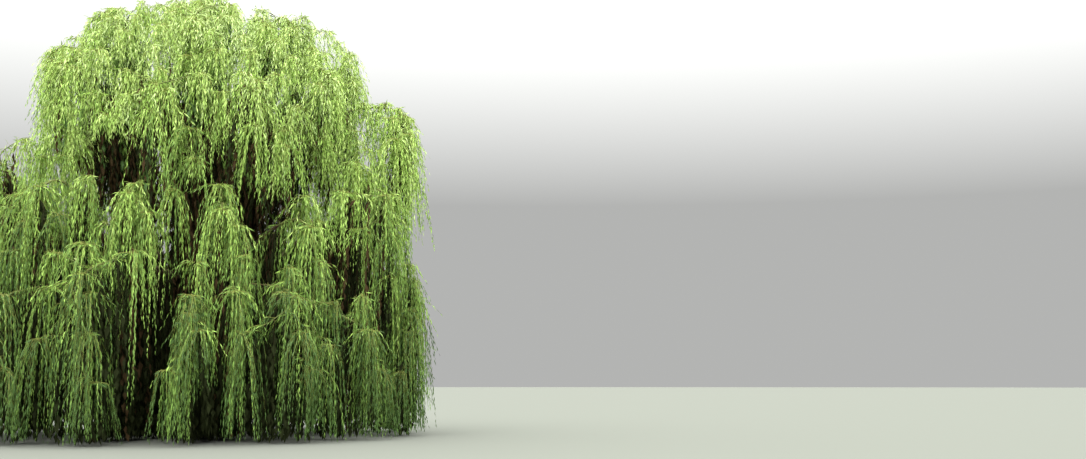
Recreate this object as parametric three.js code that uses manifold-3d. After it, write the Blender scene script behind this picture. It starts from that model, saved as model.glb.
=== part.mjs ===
// A mature weeping willow: a broad domed crown, 14 m tall and about 16 m across, whose foliage hangs in
// long curtains down to the grass. Millimetres, +Z up. The origin is the middle of the flat cut under the
// trunk, at ground level. -Y is the front, and a bearing is counted from the front towards +X, in degrees.
import * as THREE from "three";
import { mergeVertices } from "three/addons/utils/BufferGeometryUtils.js";
import Module from "manifold-3d";

const wasm = await Module();
wasm.setup();

// Driving dimensions
const trunk = {
  forkHeight: 5000,
  girthRadius: 470,
  forkRadius: 270,
  slimming: 1.3,
  flare: 0.62, // how much wider the foot is than the bole, as a share of the bole
  flareHeight: 420,
  buttresses: 5,
  buttressDepth: 0.14,
  buttressTurn: 0.6, // radians
  lean: new THREE.Vector3(160, 90, 0), // how far the fork stands from over the foot
  mesh: { sides: 16, rings: 9, spacing: 1.5 }, // the rings crowd towards the foot
};
const topBough = {
  tip: new THREE.Vector3(260, 120, 10500),
  rootRadius: 225,
  tipRadius: 90,
  straight: 1700,
  bend: new THREE.Vector3(-1350, -450, -1500),
};
const leaders = {
  rootRadius: 185,
  tipRadius: 72,
  tipReach: 2050,
  tipBelowCrest: 3500,
  springOut: 1500,
  springUp: 850,
  upright: 2700,
};
const arms = {
  rootRadius: 118,
  tipRadius: 52,
  rootShare: 0.3,
  stagger: 0.07,
  springOut: 950,
  springUp: 260,
  run: 1250,
  sag: 330,
};
const boughMesh = { sides: 6, rings: 7, spacing: 1 };
const boughSlimming = 0.8;
const clearance = 0.3; // between one limb and the next

// Stems: how thick, how far past the mass's reach they end, and how far below its crest.
const stems = {
  crown: { radius: 58, overhang: 370, droop: 420 },
  dome: { radius: 58, overhang: 370, droop: 420 },
  shoulder: { radius: 46, overhang: 370, droop: 620 },
  skirt: { radius: 44, overhang: 450, droop: 720 },
  hem: { radius: 38, overhang: 340, droop: 620 },
};
const stemArch = { spring: 0.35, back: 2.2, lift: 0.26, leastLift: 200 };
const stemTipRadius = 28;
const stemMesh = { sides: 4, rings: 5, spacing: 1 };
const seats = { first: 0.5, last: 0.95, step: 0.03 }; // where along a bough a stem may leave its side

const withe = { radius: 15, slimming: 3, rise: 170, fan: 230, mesh: { sides: 3, rings: 3, spacing: 0.8 } };
const leaf = { length: 820, width: 200, thickness: 16, widest: 0.36, perWithe: 3, fan: 140, lift: 0.7 };
const shrinking = [1, 0.86, 0.72, 0.58, 0.44]; // a withe that finds no room is tried again, smaller

const spaceMargin = 25; // between a mass's foliage and the edge of its own space
const limbMargin = 30; // between foliage and a limb of another piece
const heightWeight = 0.55; // masses are taller than wide, so their spaces are too
const lowestTip = 60; // clear of the ground
const hair = 0.05; // corners nearer than this are one
const sliver = 1.5; // what is flatter than this is smoothed away where pieces are fused

// The leaders leave the trunk one above another, each under its own dome mass.
const leaderHeights = [3000, 2350, 3700, 2650, 4050, 3350];

// The arms that carry the skirt: bearing, the leader each one grows from, tip reach and tip height.
const armPlan = [
  { bearing: 14, leader: 0, reach: 3700, height: 5100 },
  { bearing: 74, leader: 1, reach: 4500, height: 6700 },
  { bearing: 112, leader: 2, reach: 4400, height: 6300 },
  { bearing: 155, leader: 3, reach: 4300, height: 6000 },
  { bearing: -162, leader: 3, reach: 4300, height: 5900 },
  { bearing: -116, leader: 4, reach: 4400, height: 6200 },
  { bearing: -76, leader: 5, reach: 4400, height: 6400 },
  { bearing: -34, leader: 0, reach: 3700, height: 5300 },
];

// The crown in five tiers of hanging masses. A place is a bearing and the height of the mass's crest. What a
// place doesn't state it takes from its tier: its reach from the trunk's axis, the height of its lowest tips,
// its half width across and half depth, and how far down its dense middle comes, as a share of its height.
// Its space is centred `out` beyond its reach, at the share `rise` of its height.
const tiers = [
  {
    name: "crown", reach: 120, hem: 10500, spread: 1950, depth: 1800, out: 0, rise: 0.5,
    dense: 0.7, withes: 6,
    places: [{ bearing: 10, crest: 14110 }],
  },
  {
    name: "dome", reach: 2850, hem: 8800, spread: 1650, depth: 1350, out: 0, rise: 0.5,
    dense: 0.8, withes: 4,
    places: [
      { bearing: -4, crest: 12500 },
      { bearing: 58, crest: 13150 },
      { bearing: 118, crest: 12900 },
      { bearing: 178, crest: 12700 },
      { bearing: -122, crest: 12800 },
      { bearing: -63, crest: 13000 },
    ],
  },
  {
    name: "shoulder", reach: 4550, hem: 7300, spread: 1450, depth: 1250, out: 0, rise: 0.5,
    dense: 0.84, withes: 4,
    places: [
      { bearing: -92, crest: 12300, reach: 4050 },
      { bearing: -50, crest: 11100 },
      { bearing: -14, crest: 10300 },
      { bearing: 19, crest: 10600, hem: 8100 },
      { bearing: 50, crest: 11400, hem: 8500 },
      { bearing: 88, crest: 12100, hem: 8200 },
      { bearing: 128, crest: 11600, hem: 6900 },
      { bearing: 168, crest: 11200, hem: 6900 },
      { bearing: -142, crest: 11500, hem: 6900 },
    ],
  },
  {
    name: "skirt", reach: 5950, hem: 2700, spread: 1850, depth: 1150, out: -100, rise: 0.56,
    dense: 0.88, withes: 5,
    places: [
      { bearing: 80, crest: 10800, hem: 6600, reach: 6150, out: 0 },
      { bearing: 63, crest: 7900 },
      { bearing: 34, crest: 6600, reach: 5250, hem: 2600, spread: 1150 },
      { bearing: 8, crest: 6900, reach: 4950, hem: 2000, spread: 1600 },
      { bearing: -19, crest: 7300, reach: 4850, spread: 1150 },
      { bearing: -45, crest: 7500, reach: 5300, spread: 1300 },
      { bearing: -80, crest: 8500 },
      { bearing: -114, crest: 8300 },
      { bearing: -148, crest: 8500 },
      { bearing: 177, crest: 8700 },
      { bearing: 142, crest: 8600 },
      { bearing: 104, crest: 8800 },
    ],
  },
  {
    name: "hem", reach: 6550, hem: 180, spread: 1850, depth: 900, out: 800, rise: 0.62,
    dense: 0.86, withes: 5,
    places: [
      { bearing: 72, crest: 5300 },
      { bearing: 46, crest: 3600, reach: 6450, hem: 120, spread: 1050 },
      { bearing: 24, crest: 4400, reach: 6350, hem: 90, spread: 1650 },
      { bearing: 0, crest: 3900, reach: 6250, hem: 120, spread: 1150 },
      { bearing: -24, crest: 4900, reach: 6250, hem: 260, spread: 1650 },
      { bearing: -47, crest: 4200, reach: 6500, hem: 150, spread: 1100 },
      { bearing: -70, crest: 5500, hem: 240 },
      { bearing: -98, crest: 5500 },
      { bearing: -128, crest: 5000 },
      { bearing: -160, crest: 5400 },
      { bearing: 168, crest: 5000 },
      { bearing: 136, crest: 5400 },
      { bearing: 104, crest: 5000 },
    ],
  },
];

// The seeded rule: the same numbers in the same order each time.
function dice(seed) {
  let state = seed >>> 0;
  return () => {
    state = (state + 0x6d2b79f5) >>> 0;
    let t = Math.imul(state ^ (state >>> 15), state | 1);
    t ^= t + Math.imul(t ^ (t >>> 7), t | 61);
    return ((t ^ (t >>> 14)) >>> 0) / 4294967296;
  };
}

const up = new THREE.Vector3(0, 0, 1);

function outward(bearing) {
  const angle = THREE.MathUtils.degToRad(bearing);
  return new THREE.Vector3(Math.sin(angle), -Math.cos(angle), 0);
}

function place(bearing, reach, height) {
  return outward(bearing).multiplyScalar(reach).setZ(height);
}

// a + b * share, without changing either
function along(a, b, share) {
  return a.clone().addScaledVector(b, share);
}

// A shape with one corner where several meet, ready to be bent.
function joined(geometry, tolerance = 1e-4) {
  geometry.deleteAttribute("normal");
  geometry.deleteAttribute("uv");
  return mergeVertices(geometry, tolerance);
}

// A closed geometry becomes a solid once its shared corners are merged and its flat scraps are gone.
function solidOf(geometry) {
  const merged = joined(geometry, 1e-3);
  const faces = [];
  for (let i = 0; i < merged.index.count; i += 3) {
    const [a, b, c] = [0, 1, 2].map((k) => merged.index.getX(i + k));
    if (a !== b && b !== c && c !== a) faces.push(a, b, c);
  }
  return new wasm.Manifold(
    new wasm.Mesh({
      numProp: 3,
      vertProperties: new Float32Array(merged.attributes.position.array),
      triVerts: new Uint32Array(faces),
    }),
  );
}

function geometryOf(solid) {
  const made = solid.getMesh();
  const geometry = new THREE.BufferGeometry();
  geometry.setAttribute("position", new THREE.BufferAttribute(new Float32Array(made.vertProperties), 3));
  geometry.setIndex(new THREE.BufferAttribute(new Uint32Array(made.triVerts), 1));
  geometry.computeVertexNormals();
  return geometry;
}

// Whether a shape is still one closed skin, each edge between two faces, when corners a micron apart are one.
function isSound(geometry) {
  const faces = mergeVertices(geometry.clone().deleteAttribute("normal"), 1e-3).index;
  const edges = new Set();
  for (let i = 0; i < faces.count; i++) {
    const next = i % 3 < 2 ? i + 1 : i - 2;
    edges.add(faces.getX(i) + ">" + faces.getX(next));
  }
  const paired = [...edges].every((edge) => edges.has(edge.split(">").reverse().join(">")));
  return paired && edges.size === faces.count;
}

// The largest piece of a solid: its loose scraps are dropped, and corners nearer than a hair are merged.
function largest(solid) {
  const piece = solid.decompose().reduce((best, next) => (next.volume() > best.volume() ? next : best));
  return piece.simplify(hair);
}

// The way a Bezier curve runs at a share of its length, worked out exactly.
function headingAt(curve, share) {
  const left = 1 - share;
  const way = curve.v1.clone().sub(curve.v0).multiplyScalar(left * left);
  way.addScaledVector(curve.v2.clone().sub(curve.v1), 2 * left * share);
  way.addScaledVector(curve.v3.clone().sub(curve.v2), share * share);
  return way.normalize();
}

// The shares of a curve at which a limb's rings stand.
function ringShares(mesh) {
  return Array.from({ length: mesh.rings + 1 }, (_, row) => Math.pow(row / mesh.rings, mesh.spacing));
}

// The point on the straight stretch between two rings, which is where a limb's axis truly runs.
function axisAt(piece, share) {
  const shares = ringShares(piece.mesh);
  const next = Math.max(1, shares.findIndex((ring) => ring >= share));
  const part = (share - shares[next - 1]) / (shares[next] - shares[next - 1]);
  return piece.curve.getPoint(shares[next - 1]).lerp(piece.curve.getPoint(shares[next]), part);
}

// A closed cylinder bent along a curve. radiusAt gives its radius at a share of the curve and at an angle
// round it.
function bent(curve, radiusAt, mesh) {
  const geometry = new THREE.CylinderGeometry(1, 1, 1, mesh.sides, mesh.rings);
  let side = new THREE.Vector3(1, 0, 0);
  const rings = ringShares(mesh).map((share) => {
    const ahead = headingAt(curve, share);
    side = along(side, ahead, -side.dot(ahead)).normalize();
    return { share, at: curve.getPoint(share), side, across: ahead.clone().cross(side) };
  });
  const position = geometry.attributes.position;
  const corner = new THREE.Vector3();
  for (let i = 0; i < position.count; i++) {
    corner.fromBufferAttribute(position, i);
    const ring = rings[Math.round((corner.y + 0.5) * mesh.rings)];
    const angle = Math.atan2(corner.x, corner.z);
    const onAxis = Math.hypot(corner.x, corner.z) < 0.5;
    const radius = onAxis ? 0 : radiusAt(ring.share, angle);
    const point = along(ring.at, ring.side, radius * Math.sin(angle));
    point.addScaledVector(ring.across, -radius * Math.cos(angle));
    position.setXYZ(i, point.x, point.y, point.z);
  }
  return geometry;
}

function taper(rootRadius, tipRadius, power) {
  return (share) => THREE.MathUtils.lerp(rootRadius, tipRadius, Math.pow(share, power));
}

function bezier(a, b, c, d) {
  return new THREE.CubicBezierCurve3(a, b, c, d);
}

// A limb: its curve, its thickness along it, its mesh and the limb that carries it, which it is cut clear of.
function limb(name, curve, rootRadius, tipRadius, carrier) {
  const radiusAt = taper(rootRadius, tipRadius, boughSlimming);
  return { name, curve, tipRadius, radiusAt, carrier, mesh: boughMesh };
}

function limbSolid(piece, extra = 0) {
  return solidOf(bent(piece.curve, (share, angle) => piece.radiusAt(share, angle) + extra, piece.mesh));
}

// The trunk: a flared, buttressed foot, then a bole that tapers and leans to its fork.
function trunkCurve() {
  const { lean, forkHeight } = trunk;
  return bezier(
    new THREE.Vector3(),
    new THREE.Vector3(0, 0, forkHeight * 0.35),
    new THREE.Vector3(lean.x * 1.3, lean.y * 0.4, forkHeight * 0.7),
    lean.clone().setZ(forkHeight),
  );
}

function trunkRadius(share, angle) {
  const bole = THREE.MathUtils.lerp(trunk.girthRadius, trunk.forkRadius, Math.pow(share, trunk.slimming));
  const foot = Math.exp(-share * trunk.forkHeight / trunk.flareHeight);
  const buttress = Math.cos(trunk.buttresses * angle + trunk.buttressTurn);
  return bole * (1 + trunk.flare * foot) * (1 + trunk.buttressDepth * foot * buttress);
}

function topBoughCurve(bole) {
  const fork = bole.curve.getPoint(1);
  const onward = headingAt(bole.curve, 1);
  const spring = along(fork, onward, topBough.straight);
  return bezier(along(fork, onward, clearance), spring, along(topBough.tip, topBough.bend, 1), topBough.tip);
}

function leaderCurve(bole, dome, height) {
  const away = outward(dome.bearing);
  const start = axisAt(bole, height / trunk.forkHeight);
  const tip = place(dome.bearing, leaders.tipReach, dome.crest - leaders.tipBelowCrest);
  const spring = along(start, away, leaders.springOut);
  return bezier(start, along(spring, up, leaders.springUp), along(tip, up, -leaders.upright), tip);
}

function armCurve(leader, plan, share) {
  const away = outward(plan.bearing);
  const start = axisAt(leader, share);
  const tip = place(plan.bearing, plan.reach, plan.height);
  const spring = along(along(start, away, arms.springOut), up, arms.springUp);
  return bezier(start, spring, along(along(tip, away, -arms.run), up, -arms.sag), tip);
}

// The top bough goes on from the fork, the leaders spring from the bole and the arms from the leaders.
function growLimbs(masses) {
  const bole = { name: "trunk", curve: trunkCurve(), radiusAt: trunkRadius, mesh: trunk.mesh };
  const top = limb("bough_top", topBoughCurve(bole), topBough.rootRadius, topBough.tipRadius, null);
  const domes = masses.filter((mass) => mass.tier === "dome");
  const risers = domes.map((dome, i) => {
    const curve = leaderCurve(bole, dome, leaderHeights[i]);
    return limb("leader_" + (i + 1), curve, leaders.rootRadius, leaders.tipRadius, bole);
  });
  const carriers = armPlan.map((plan, i) => {
    const leader = risers[plan.leader];
    const curve = armCurve(leader, plan, arms.rootShare + arms.stagger * (i % 2));
    return limb("arm_" + (i + 1), curve, arms.rootRadius, arms.tipRadius, leader);
  });
  return [bole, top, ...risers, ...carriers];
}

// Every mass of foliage, with what its place doesn't state taken from its tier.
function listMasses() {
  return tiers.flatMap((tier) =>
    tier.places.map((spot, i) => {
      const mass = { ...tier, ...spot, tier: tier.name };
      mass.name = tier.places.length > 1 ? tier.name + "_" + (i + 1) : tier.name;
      mass.seed = Math.round(mass.crest + 7 * (mass.bearing + 360));
      const middle = THREE.MathUtils.lerp(mass.hem, mass.crest, mass.rise);
      mass.centre = place(mass.bearing, mass.reach + mass.out, middle);
      return mass;
    }),
  );
}

// A mass's own space is every point nearer to its centre than to any other's, with the wider masses given
// more. The walls between neighbours are flat, so a solid whose corners are inside lies wholly inside.
function flattened(point) {
  return new THREE.Vector3(point.x, point.y, point.z * heightWeight);
}

const farWall = 3500; // no mass reaches a wall further off than this

function giveSpaces(masses) {
  for (const mass of masses) {
    const own = flattened(mass.centre);
    mass.walls = masses
      .filter((other) => other !== mass)
      .map((other) => {
        const theirs = flattened(other.centre);
        const normal = theirs.clone().sub(own);
        const apart = normal.length();
        const lead = (mass.spread ** 2 - other.spread ** 2) / (2 * apart);
        return { normal: normal.normalize(), offset: apart / 2 + lead, own };
      })
      .filter((wall) => wall.offset < farWall);
  }
}

function inSpace(mass, point, margin = spaceMargin) {
  if (point.z < lowestTip) return false;
  const here = flattened(point);
  return mass.walls.every((wall) => here.clone().sub(wall.own).dot(wall.normal) < wall.offset - margin);
}

// Each mass hangs on a stem that leaves its bough, rises over the crest and droops beyond it.
function stemCurve(mass, start, heading) {
  const { overhang, droop } = stems[mass.tier];
  const away = outward(mass.bearing);
  const end = place(mass.bearing, mass.reach + overhang, mass.crest - droop);
  const lift = Math.max(stemArch.leastLift, (mass.crest - start.z) * stemArch.lift);
  const spring = along(start, heading, stemArch.spring * start.distanceTo(end));
  const arch = along(along(end, away, -stemArch.back * overhang), up, droop + lift);
  return bezier(start, spring, arch, end);
}

function stem(mass, carrier, start, heading, radius) {
  const curve = stemCurve(mass, start, heading);
  return { ...limb(mass.name, curve, radius, stemTipRadius, carrier), mesh: stemMesh };
}

// A stem that goes on from its bough's tip, a hair's breadth clear of it.
function hangFromTip(mass, bough) {
  const heading = headingAt(bough.curve, 1);
  const start = along(bough.curve.getPoint(1), heading, clearance);
  mass.stem = stem(mass, null, start, heading, bough.tipRadius * 0.96);
}

// A stem that leaves the side of the bough nearest to its mass, where it passes clear of every other limb.
function hangFromSide(mass, boughs, others) {
  const target = place(mass.bearing, mass.reach * 0.72, Math.min(mass.crest - 1500, 9000));
  const spots = [];
  for (const bough of boughs) {
    for (let share = seats.first; share <= seats.last; share += seats.step) {
      const start = axisAt(bough, share);
      spots.push({ bough, share, start, cost: start.distanceTo(target) });
    }
  }
  spots.sort((a, b) => a.cost - b.cost);
  for (const { bough, share, start } of spots) {
    const heading = target.clone().sub(start).normalize().addScaledVector(up, 0.25).normalize();
    const radius = Math.min(stems[mass.tier].radius, bough.radiusAt(share) * 0.8);
    mass.stem = stem(mass, bough, start, heading, radius);
    if (others.every((other) => other === bough || clearOf(mass.stem, other))) return;
  }
}

function turnBetween(a, b) {
  return Math.abs(((a - b + 540) % 360) - 180);
}

// The crown and the dome hang from the tips of the top bough and the leaders, and an arm's tip holds the
// skirt mass nearest to its bearing. The others leave the sides of boughs: high ones a leader's and low ones
// an arm's.
function hangMasses(masses, limbs) {
  const [, top, ...boughs] = limbs;
  const risers = boughs.slice(0, leaderHeights.length);
  const carriers = boughs.slice(leaderHeights.length);
  const isHigh = (mass) => mass.tier === "shoulder" || mass.crest > 10000;
  const inTier = (tier) => masses.filter((mass) => mass.tier === tier);
  hangFromTip(inTier("crown")[0], top);
  inTier("dome").forEach((mass, i) => hangFromTip(mass, risers[i]));
  armPlan.forEach((plan, i) => {
    const free = inTier("skirt").filter((mass) => !mass.stem && !isHigh(mass));
    const off = (mass) => turnBetween(mass.bearing, plan.bearing);
    hangFromTip(free.sort((a, b) => off(a) - off(b))[0], carriers[i]);
  });
  for (const mass of masses.filter((each) => !each.stem)) {
    const others = [...limbs, ...masses.filter((each) => each.stem).map((each) => each.stem)];
    hangFromSide(mass, isHigh(mass) ? risers : carriers, others);
  }
}

// Whether one limb passes clear of another: no two of their points come nearer than both radii and a margin.
function clearOf(piece, other) {
  const theirs = stretches(other);
  return stretches(piece).every((own) =>
    theirs.every((stretch) => gapBetween(own.a, own.b, stretch) > own.radius + stretch.radius + limbMargin),
  );
}

// A limb as the straight stretches between its rings, for telling how near a twig or leaf comes.
function stretches(piece) {
  const shares = ringShares(piece.mesh);
  return shares.slice(1).map((share, i) => ({
    a: piece.curve.getPoint(shares[i]),
    b: piece.curve.getPoint(share),
    radius: piece.radiusAt(shares[i], 0),
    owner: piece.name,
  }));
}

// The least distance between the straight lines from p0 to p1 and along a stretch.
function gapBetween(p0, p1, stretch) {
  const along1 = p1.clone().sub(p0);
  const along2 = stretch.b.clone().sub(stretch.a);
  const between = p0.clone().sub(stretch.a);
  const [a, b, c] = [along1.dot(along1), along1.dot(along2), along2.dot(along2)];
  const [d, e] = [along1.dot(between), along2.dot(between)];
  const slant = a * c - b * b;
  let s = slant > 1e-6 * a * c ? THREE.MathUtils.clamp((b * e - c * d) / slant, 0, 1) : 0;
  const t = THREE.MathUtils.clamp((b * s + e) / c, 0, 1);
  s = THREE.MathUtils.clamp((b * t - d) / a, 0, 1);
  return along(p0, along1, s).distanceTo(along(stretch.a, along2, t));
}

// Whether a straight twig or leaf passes clear of every limb but the stem it grows on.
function clearOfLimbs(mass, p0, p1, halfWidth, everyStretch) {
  return everyStretch.every((stretch) => {
    if (stretch.owner === mass.name) return true;
    const reach = halfWidth + stretch.radius + limbMargin;
    if (p0.distanceTo(stretch.a) > reach + p0.distanceTo(p1) + stretch.a.distanceTo(stretch.b)) return true;
    return gapBetween(p0, p1, stretch) > reach;
  });
}

// The dense middle of a mass: a pleated bell under the stem's arch, kept inside the mass's space. Each ring
// of its corners has a width, as a share of the mass's own, and a drop, as a share of its height.
const bell = {
  sides: 8,
  pleats: 4,
  pleatDepth: 0.12,
  jag: 0.11,
  deep: 0.78,
  wide: 1.04,
  below: 150, // from the mass's crest
  margin: 75, // to the edge of its space
};
const bellRings = [
  { width: 0, drop: 0 },
  { width: 0.66, drop: 0.07 },
  { width: 1, drop: 0.36 },
  { width: 0.94, drop: 0.97 },
  { width: 0, drop: 0.82 },
];

function coreSolid(mass, roll) {
  const rows = bellRings.length - 1;
  const geometry = joined(new THREE.SphereGeometry(1, bell.sides, rows));
  const position = geometry.attributes.position;
  const away = outward(mass.bearing);
  const across = away.clone().cross(up);
  const top = mass.crest - bell.below;
  const height = (top - mass.hem) * mass.dense;
  const spin = roll() * Math.PI * 2;
  const corner = new THREE.Vector3();
  for (let i = 0; i < position.count; i++) {
    corner.fromBufferAttribute(position, i);
    const ring = bellRings[Math.round(Math.acos(THREE.MathUtils.clamp(corner.y, -1, 1)) / Math.PI * rows)];
    const angle = Math.atan2(corner.z, corner.x);
    const wave = ring.width && Math.cos(bell.pleats * angle + spin);
    const width = ring.width * (1 + bell.pleatDepth * wave * ring.drop);
    const drop = ring.drop * (1 + bell.jag * wave);
    const point = place(mass.bearing, mass.reach, top - height * drop);
    point.addScaledVector(away, Math.cos(angle) * width * mass.depth * bell.deep);
    point.addScaledVector(across, Math.sin(angle) * width * mass.spread * bell.wide);
    for (let tries = 0; tries < 80 && !inSpace(mass, point, bell.margin); tries++) {
      point.lerp(mass.centre, 0.06);
    }
    position.setXYZ(i, point.x, point.y, point.z);
  }
  return solidOf(geometry);
}

// A leaf that stands for a spray: a flat lance whose root is sunk in its withe as far as the withe's axis.
function leafSolid(root, way, length, spin) {
  const geometry = new THREE.OctahedronGeometry(1);
  const position = geometry.attributes.position;
  const side = along(up, way, -up.dot(way)).normalize().cross(way).applyAxisAngle(way, spin);
  const thick = way.clone().cross(side);
  for (let i = 0; i < position.count; i++) {
    const [x, y, z] = [position.getX(i), position.getY(i), position.getZ(i)];
    const reach = Math.abs(x) > 0.5 ? (x + 1) / 2 : leaf.widest;
    const point = along(root, way, reach * length);
    point.addScaledVector(side, y * leaf.width / 2).addScaledVector(thick, z * leaf.thickness / 2);
    position.setXYZ(i, point.x, point.y, point.z);
  }
  return solidOf(geometry);
}

// The leaves of a withe hang outwards from its lower part. One that would leave the space or touch a limb is
// left out.
function sprayLeaves(mass, shoot, side, everyStretch, roll) {
  const leaves = [];
  for (let k = 0; k < leaf.perWithe; k++) {
    const root = axisAt(shoot, 0.4 + 0.45 * k / (leaf.perWithe - 1));
    const turned = side.clone().applyAxisAngle(up, THREE.MathUtils.degToRad((roll() - 0.5) * leaf.fan));
    const way = turned.multiplyScalar(leaf.lift).addScaledVector(up, -1).normalize();
    const length = leaf.length * (0.85 + 0.3 * roll());
    const spin = roll() * Math.PI;
    const waist = along(root, way, leaf.widest * length);
    const end = along(root, way, length);
    if (!inSpace(mass, waist, spaceMargin + leaf.width / 2) || !inSpace(mass, end)) continue;
    if (!clearOfLimbs(mass, root, end, leaf.width / 2, everyStretch)) continue;
    leaves.push(leafSolid(root, way, length, spin));
  }
  return leaves;
}

const witheTaper = taper(withe.radius, 0, withe.slimming);

// A withe leaves the stem sideways, rises a little, arches over and hangs straight down.
function witheCurve(start, side, swing, fall) {
  const shoulder = along(along(start, side, swing * 0.6), up, withe.rise);
  const turnOver = along(along(start, side, swing), up, -fall * 0.12);
  const tip = along(along(start, side, swing * 1.05), up, -fall);
  return bezier(start, shoulder, turnOver, tip);
}

// The share of its stem at which a mass's foliage can begin: past half way, and inside its own space.
function entryShare(mass) {
  let share = 0.5;
  while (share < 0.9 && !inSpace(mass, axisAt(mass.stem, share))) share += 0.04;
  return share;
}

// The withes stand round the outer half of their mass, and all round the crown's.
function growFoliage(mass, everyStretch, roll) {
  const pieces = [];
  const fan = mass.tier === "crown" ? 360 : withe.fan;
  const entry = entryShare(mass);
  for (let i = 0; i < mass.withes; i++) {
    const place01 = ((i * 3) % mass.withes + 0.5) / mass.withes;
    const start = axisAt(mass.stem, THREE.MathUtils.lerp(entry, 0.97, place01));
    const turned = THREE.MathUtils.degToRad(fan * ((i + 0.5) / mass.withes - 0.5) + 22 * (roll() - 0.5));
    const side = outward(mass.bearing).applyAxisAngle(up, turned);
    const room = 1 / Math.hypot(Math.cos(turned) / mass.depth, Math.sin(turned) / mass.spread);
    for (const shrink of shrinking) {
      const swing = room * (0.9 + 0.2 * roll()) * shrink;
      const fall = (start.z - mass.hem) * (0.9 + 0.1 * roll()) * (0.6 + 0.4 * shrink);
      const curve = witheCurve(start, side, swing, fall);
      const shoot = { name: mass.name, curve, radiusAt: witheTaper, mesh: withe.mesh };
      const isFree = stretches(shoot).every(
        ({ a, b, radius }) => inSpace(mass, b) && clearOfLimbs(mass, a, b, radius, everyStretch),
      );
      if (!isFree) continue;
      pieces.push(limbSolid(shoot), ...sprayLeaves(mass, shoot, side, everyStretch, roll));
      break;
    }
  }
  return pieces;
}

// Bark and the two greens of the foliage, as they look in open shade.
const bark = { color: 0x5b4d3e, roughness: 0.95, metalness: 0 };
const crownGreen = { color: 0x9fbd4a, roughness: 0.7, metalness: 0 };
const skirtGreen = { color: 0x6f9c3d, roughness: 0.7, metalness: 0 };
const finishOf = {
  crown: crownGreen,
  dome: crownGreen,
  shoulder: crownGreen,
  skirt: skirtGreen,
  hem: skirtGreen,
};

function named(name, solid, finish) {
  const mesh = new THREE.Mesh(geometryOf(solid), new THREE.MeshStandardMaterial(finish));
  mesh.name = name;
  return mesh;
}

function boxesMeet(a, b) {
  const [p, q] = [a.boundingBox(), b.boundingBox()];
  return [0, 1, 2].every((k) => p.min[k] <= q.max[k] && q.min[k] <= p.max[k]);
}

// A mass of foliage in one piece: stem, withes, leaves and dense middle, cut clear of the limbs that pass by.
function fuse(mass, wider, everyStretch) {
  const roll = dice(mass.seed);
  const foliage = growFoliage(mass, everyStretch, roll);
  let core = coreSolid(mass, roll);
  for (const [name, solid] of wider) {
    if (name !== mass.name && boxesMeet(core, solid)) core = core.subtract(solid);
  }
  let whole = wasm.Manifold.union([limbSolid(mass.stem), largest(core), ...foliage]).simplify(sliver);
  if (mass.stem.carrier) whole = whole.subtract(wider.get(mass.stem.carrier.name));
  return named(mass.name, largest(whole), finishOf[mass.tier]);
}

const masses = listMasses();
giveSpaces(masses);
const limbs = growLimbs(masses);
hangMasses(masses, limbs);

const tree = new THREE.Group();
const wider = new Map(); // each limb and stem, grown by its margin, to cut its neighbours with
for (const piece of limbs) {
  wider.set(piece.name, limbSolid(piece, clearance));
  const whole = limbSolid(piece);
  const cut = piece.carrier ? largest(whole.subtract(wider.get(piece.carrier.name))) : whole;
  tree.add(named(piece.name, cut, bark));
}
for (const mass of masses) wider.set(mass.name, limbSolid(mass.stem, limbMargin / 2));

const everyStretch = [...limbs, ...masses.map((mass) => mass.stem)].flatMap((piece) => stretches(piece));
for (const mass of masses) {
  let mesh = fuse(mass, wider, everyStretch);
  while (!isSound(mesh.geometry)) {
    mass.seed += 1;
    mesh = fuse(mass, wider, everyStretch);
  }
  tree.add(mesh);
}

export default tree;
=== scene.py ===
# A mature weeping willow in summer leaf: furrowed trunk, rising leaders, spreading arms, and a domed crown
# whose withes hang in mop-like clumps down to the ground. Metres, +Z up, -Y is the front. A bearing is
# counted from the front towards +X, in degrees.
import math

import bpy
import numpy as np
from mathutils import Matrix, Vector, noise


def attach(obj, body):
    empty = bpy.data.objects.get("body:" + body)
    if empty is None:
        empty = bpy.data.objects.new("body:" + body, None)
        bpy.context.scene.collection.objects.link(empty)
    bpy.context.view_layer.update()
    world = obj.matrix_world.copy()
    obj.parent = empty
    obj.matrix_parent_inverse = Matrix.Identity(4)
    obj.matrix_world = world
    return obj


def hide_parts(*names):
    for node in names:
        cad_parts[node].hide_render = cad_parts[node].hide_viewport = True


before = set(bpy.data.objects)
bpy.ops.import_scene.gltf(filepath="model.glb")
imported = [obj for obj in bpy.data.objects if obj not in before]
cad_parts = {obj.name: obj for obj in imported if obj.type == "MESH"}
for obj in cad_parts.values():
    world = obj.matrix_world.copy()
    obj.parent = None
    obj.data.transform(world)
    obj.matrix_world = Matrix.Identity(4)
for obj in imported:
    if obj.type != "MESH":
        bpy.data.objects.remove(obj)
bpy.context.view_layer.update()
bpy.ops.object.select_all(action="DESELECT")
print("frame loaded:", len(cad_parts), "nodes")

boughRings = 7
boughSlimming = 0.8
clearance = 0.0003  # between one limb and the next


up = np.array((0.0, 0.0, 1.0))


def outward(bearing):
    angle = math.radians(bearing)
    return np.array((math.sin(angle), -math.cos(angle), 0.0))


def place(bearing, reach, height):
    return outward(bearing) * reach + up * height


def unit(vectors):
    return vectors / np.maximum(np.linalg.norm(vectors, axis=-1, keepdims=True), 1e-9)


# The points of Bezier curves at some shares of their length; curves is one set of four points, or many
def curvePoints(curves, shares):
    t = np.asarray(shares, float)
    weights = np.stack([(1 - t) ** 3, 3 * t * (1 - t) ** 2, 3 * t * t * (1 - t), t**3], -1)
    return weights @ curves


def curveHeadings(curves, shares):
    t = np.asarray(shares, float)
    weights = np.stack([(1 - t) ** 2, 2 * t * (1 - t), t * t], -1)
    return unit(weights @ (curves[..., 1:, :] - curves[..., :-1, :]))


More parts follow.
